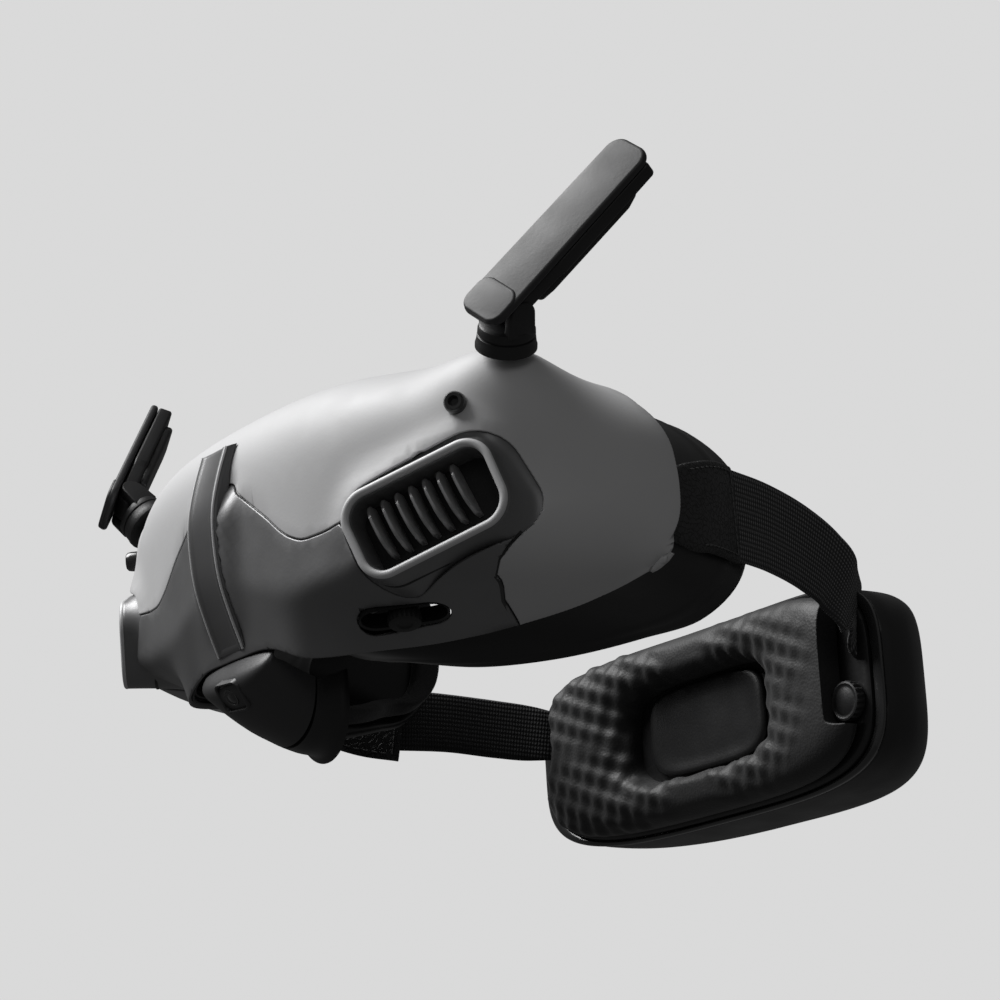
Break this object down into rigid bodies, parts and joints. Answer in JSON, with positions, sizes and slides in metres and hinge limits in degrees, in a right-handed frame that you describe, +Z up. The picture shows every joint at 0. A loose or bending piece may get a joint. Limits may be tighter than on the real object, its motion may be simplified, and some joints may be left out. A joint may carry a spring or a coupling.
{
  "type": "fpv goggles",
  "caption": "Video goggles for drone flying, with a wrapped front unit, side vents, folding antennas, a headband and a rear battery unit.",
  "frame": {"origin": "centre of the bounding box in plan, at its lowest point", "axes": "+X towards the wearer's left, +Y towards the back of the head, +Z up"},
  "size_m": [0.209, 0.166, 0.1175],
  "materials": {
    "light_cover": "satin",
    "dark_cover": "satin",
    "black_plastic": "matte",
    "grey_plastic": "satin",
    "rubber": "matte",
    "foam": "matte",
    "leather": "matte",
    "webbing": "matte",
    "glass": "gloss",
    "metal": "satin",
    "board": "matte",
    "cell": "satin"
  },
  "bodies": {
    "front_unit": {"top_cover": "light_cover", "front_cover": "dark_cover", "centre_ridge": "grey_plastic", "beak_cover": "dark_cover", "beak_window": "glass", "nose_rest": "rubber", "face_shield": "rubber", "face_foam": "foam", "optics_frame": "black_plastic", "ipd_rail": "metal", "main_board": "board", "heat_sink": "metal", "fan_housing": "black_plastic", "sensor_stud_left": "black_plastic", "sensor_stud_right": "black_plastic", "port_block": "black_plastic", "vent_bezel_left": "dark_cover", "vent_grille_left": "black_plastic", "antenna_collar_left": "black_plastic", "antenna_pin_left": "metal", "strap_anchor_left": "metal", "vent_bezel_right": "dark_cover", "vent_grille_right": "black_plastic", "antenna_collar_right": "black_plastic", "antenna_pin_right": "metal", "strap_anchor_right": "metal"},
    "antenna_left": {"antenna_arm_left": "black_plastic", "antenna_plate_left": "grey_plastic"},
    "eye_left": {"eyepiece_left": "black_plastic", "display_left": "board"},
    "focus_left": {"lens_left": "glass"},
    "ipd_left": {"ipd_slider_left": "black_plastic"},
    "knob_left": {"focus_knob_left": "rubber"},
    "antenna_right": {"antenna_arm_right": "black_plastic", "antenna_plate_right": "grey_plastic"},
    "eye_right": {"eyepiece_right": "black_plastic", "display_right": "board"},
    "focus_right": {"lens_right": "glass"},
    "ipd_right": {"ipd_slider_right": "black_plastic"},
    "knob_right": {"focus_knob_right": "rubber"},
    "fan": {"fan_rotor": "black_plastic"},
    "stick": {"joystick": "rubber"},
    "back": {"back_button": "rubber"},
    "power": {"power_button": "rubber"},
    "headband": {"strap_end_left": "leather", "strap_end_right": "leather", "strap_band_left": "webbing", "strap_band_right": "webbing"},
    "rear_unit": {"rear_housing": "black_plastic", "rear_trim": "grey_plastic", "rear_pad_base": "black_plastic", "rear_pad": "foam", "rear_recess_panel": "black_plastic", "battery_cell_upper": "cell", "battery_cell_lower": "cell"},
    "dial": {"fit_dial": "rubber"},
    "rack_l": {"rack_left": "grey_plastic"},
    "rack_r": {"rack_right": "grey_plastic"}
  },
  "joints": [
    {"name": "antenna_fold_left", "type": "hinge", "parent": "front_unit", "child": "antenna_left", "pos_m": [0.07991, -0.057, 0.08472], "axis": [-0.7773, -0.125, 0.6166], "range_deg": [0, 45]},
    {"name": "eye_spacing_left", "type": "slide", "parent": "front_unit", "child": "eye_left", "axis": [1, 0, 0], "range_m": [-0.0035, 0.0035]},
    {"name": "slider_travel_left", "type": "slide", "parent": "front_unit", "child": "ipd_left", "axis": [0.67, 0.74, 0.06], "range_m": [-0.00525, 0.00525]},
    {"name": "knob_turn_left", "type": "hinge", "parent": "ipd_left", "child": "knob_left", "pos_m": [0.0406, -0.059, 0.02935], "axis": [0.2398, -0.1392, -0.9608], "range_deg": [-150, 150]},
    {"name": "lens_focus_left", "type": "slide", "parent": "eye_left", "child": "focus_left", "axis": [0, 1, 0], "range_m": [-0.0012, 0.0012]},
    {"name": "antenna_fold_right", "type": "hinge", "parent": "front_unit", "child": "antenna_right", "pos_m": [-0.07991, -0.057, 0.08472], "axis": [-0.7773, 0.125, -0.6166], "range_deg": [0, 45]},
    {"name": "eye_spacing_right", "type": "slide", "parent": "front_unit", "child": "eye_right", "axis": [-1, 0, 0], "range_m": [-0.0035, 0.0035]},
    {"name": "slider_travel_right", "type": "slide", "parent": "front_unit", "child": "ipd_right", "axis": [-0.67, 0.74, 0.06], "range_m": [-0.00525, 0.00525]},
    {"name": "knob_turn_right", "type": "hinge", "parent": "ipd_right", "child": "knob_right", "pos_m": [-0.0406, -0.059, 0.02935], "axis": [-0.2398, -0.1392, -0.9608], "range_deg": [-150, 150]},
    {"name": "lens_focus_right", "type": "slide", "parent": "eye_right", "child": "focus_right", "axis": [0, 1, 0], "range_m": [-0.0012, 0.0012]},
    {"name": "fan_spin", "type": "hinge", "parent": "front_unit", "child": "fan", "pos_m": [0, -0.0632, 0.05545], "axis": [0, 1, 0], "continuous": true},
    {"name": "stick_press", "type": "slide", "parent": "front_unit", "child": "stick", "axis": [1, 0, 0], "range_m": [0, 0.0012], "stiffness_N_per_m": 400},
    {"name": "back_press", "type": "slide", "parent": "front_unit", "child": "back", "axis": [1, 0, 0], "range_m": [0, 0.001], "stiffness_N_per_m": 400},
    {"name": "power_press", "type": "slide", "parent": "rear_unit", "child": "power", "axis": [0, 0, -1], "range_m": [0, 0.0011], "stiffness_N_per_m": 400},
    {"name": "headband_tilt", "type": "hinge", "parent": "front_unit", "child": "headband", "pos_m": [0, -0.023, 0.04326], "axis": [1, 0, 0], "range_deg": [-8, 8]},
    {"name": "headband_fit", "type": "slide", "parent": "headband", "child": "rear_unit", "axis": [0, 1, 0], "range_m": [-0.003, 0.001]},
    {"name": "dial_turn", "type": "hinge", "parent": "rear_unit", "child": "dial", "pos_m": [0.054, 0.0573, 0.01745], "axis": [0, 1, 0], "range_deg": [-67, 23]},
    {"name": "rack_travel_left", "type": "slide", "parent": "rear_unit", "child": "rack_l", "axis": [1, 0, 0], "range_m": [-0.0031, 0.0011]},
    {"name": "rack_travel_right", "type": "slide", "parent": "rear_unit", "child": "rack_r", "axis": [1, 0, 0], "range_m": [-0.0011, 0.0031]}
  ],
  "couplings": [
    {"joint": "slider_travel_left", "follows": "eye_spacing_left", "ratio": 1.4925},
    {"joint": "knob_turn_left", "follows": "lens_focus_left", "rad_per_m": 2180},
    {"joint": "slider_travel_right", "follows": "eye_spacing_right", "ratio": 1.4925},
    {"joint": "knob_turn_right", "follows": "lens_focus_right", "rad_per_m": 2180},
    {"joint": "dial_turn", "follows": "headband_fit", "rad_per_m": 384.6},
    {"joint": "rack_travel_left", "follows": "headband_fit", "ratio": 1},
    {"joint": "rack_travel_right", "follows": "headband_fit", "ratio": -1}
  ]
}
